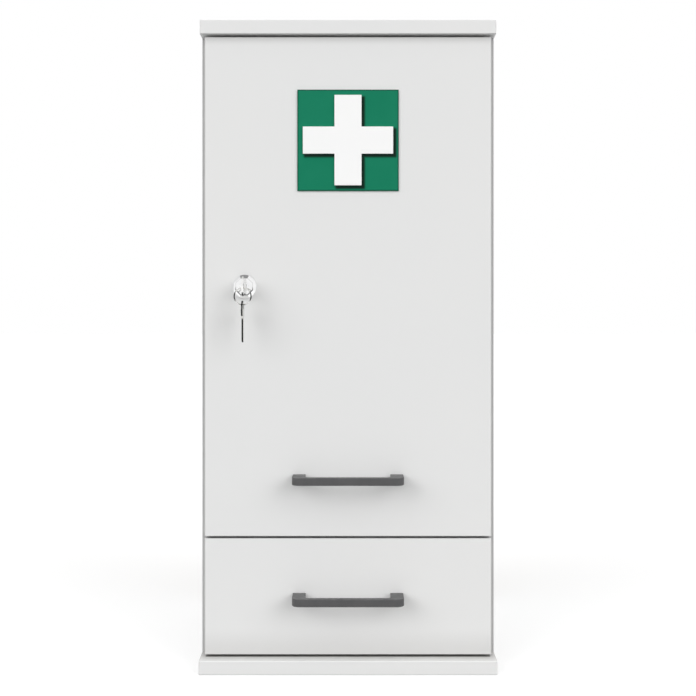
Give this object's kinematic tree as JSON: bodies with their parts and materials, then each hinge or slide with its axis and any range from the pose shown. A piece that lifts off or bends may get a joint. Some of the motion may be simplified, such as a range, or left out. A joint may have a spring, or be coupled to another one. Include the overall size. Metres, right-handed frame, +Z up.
{
  "type": "medicine cabinet",
  "caption": "Tall medicine cabinet with a locking hinged door over a drawer, dark pull handles, a key lock with a hanging spare key and a raised first-aid cross.",
  "frame": {"origin": "middle of the width on the underside of the bottom panel, at half the depth of the side panels", "axes": "+Z up, the fronts face -Y, +X to the right as seen from the front"},
  "size_m": [0.4, 0.3905, 0.88],
  "materials": {
    "white_melamine": "satin white melamine on chipboard",
    "back_board": "hardboard, white lacquer inside, bare outside",
    "drawer_wood": "white foil on chipboard",
    "beech": "plain beech",
    "anthracite": "satin anthracite powder coat",
    "chrome_plate": "polished chrome",
    "key_nickel": "nickel plate",
    "zinc_steel": "bright zinc plate",
    "sign_green": "satin green plastic",
    "sign_white": "white plastic",
    "rail_white": "white powder coat",
    "roller_nylon": "natural nylon",
    "clear_rubber": "clear soft plastic"
  },
  "bodies": {
    "carcass": {"top_panel": "white_melamine", "bottom_panel": "white_melamine", "left_side_panel": "white_melamine", "right_side_panel": "white_melamine", "divider_shelf": "white_melamine", "lower_shelf": "white_melamine", "middle_shelf": "white_melamine", "upper_shelf": "white_melamine", "back_panel": "back_board", "shelf_pins": "zinc_steel", "cam_locks": "zinc_steel", "cam_bolts": "zinc_steel", "dowels": "beech", "left_cabinet_rail": "rail_white", "right_cabinet_rail": "rail_white", "hinge_plates": "zinc_steel", "hinge_arms": "zinc_steel", "strike_plate": "zinc_steel"},
    "front_rollers": {"front_rollers": "roller_nylon"},
    "door": {"door_panel": "white_melamine", "hinge_cups": "zinc_steel", "hinge_pins": "zinc_steel", "door_handle": "anthracite", "door_handle_screws": "zinc_steel", "sign_plate": "sign_green", "sign_cross": "sign_white", "lock_rosette": "chrome_plate", "lock_barrel": "chrome_plate", "lock_nut": "zinc_steel", "lock_case": "zinc_steel", "door_bumpers": "clear_rubber"},
    "lock_core": {"lock_core": "chrome_plate", "inserted_key": "key_nickel"},
    "lock_bolt": {"lock_bolt": "zinc_steel"},
    "key_ring": {"key_ring": "key_nickel"},
    "spare_key": {"spare_key": "key_nickel"},
    "drawer": {"drawer_front": "white_melamine", "drawer_handle": "anthracite", "drawer_handle_screws": "zinc_steel", "drawer_bottom": "drawer_wood", "drawer_left_side": "drawer_wood", "drawer_right_side": "drawer_wood", "drawer_inner_front": "drawer_wood", "drawer_back": "drawer_wood", "left_drawer_rail": "rail_white", "right_drawer_rail": "rail_white"},
    "rear_rollers": {"rear_rollers": "roller_nylon"}
  },
  "joints": [
    {"name": "door_swing", "type": "hinge", "parent": "carcass", "child": "door", "pos_m": [0.187, -0.1765, 0.52], "axis": [0, 0, 1], "range_deg": [0, 95]},
    {"name": "drawer_slide", "type": "slide", "parent": "carcass", "child": "drawer", "axis": [0, -1, 0], "range_m": [0, 0.22]},
    {"name": "key_turn", "type": "hinge", "parent": "door", "child": "lock_core", "pos_m": [-0.14, -0.19, 0.52], "axis": [0, -1, 0], "range_deg": [0, 90]},
    {"name": "bolt_throw", "type": "slide", "parent": "door", "child": "lock_bolt", "axis": [-1, 0, 0], "range_m": [0, 0.012]},
    {"name": "ring_hang", "type": "hinge", "parent": "lock_core", "child": "key_ring", "pos_m": [-0.14, -0.2135, 0.5115], "axis": [0, -1, 0], "range_deg": [-90, 0]},
    {"name": "spare_key_swing", "type": "hinge", "parent": "key_ring", "child": "spare_key", "pos_m": [-0.14, -0.2135, 0.4954], "axis": [-1, 0, 0], "range_deg": [-12, 60]},
    {"name": "front_roller_spin", "type": "hinge", "parent": "carcass", "child": "front_rollers", "pos_m": [0, -0.15, 0.06], "axis": [1, 0, 0], "range_deg": [0, 1401]},
    {"name": "rear_roller_spin", "type": "hinge", "parent": "drawer", "child": "rear_rollers", "pos_m": [0, 0.121, 0.06], "axis": [1, 0, 0], "range_deg": [0, 1401]}
  ],
  "couplings": [
    {"joint": "key_turn", "follows": "bolt_throw", "rad_per_m": 130.8},
    {"joint": "ring_hang", "follows": "bolt_throw", "rad_per_m": -130.8},
    {"joint": "front_roller_spin", "follows": "drawer_slide", "rad_per_m": 111.11},
    {"joint": "rear_roller_spin", "follows": "drawer_slide", "rad_per_m": 111.11}
  ]
}
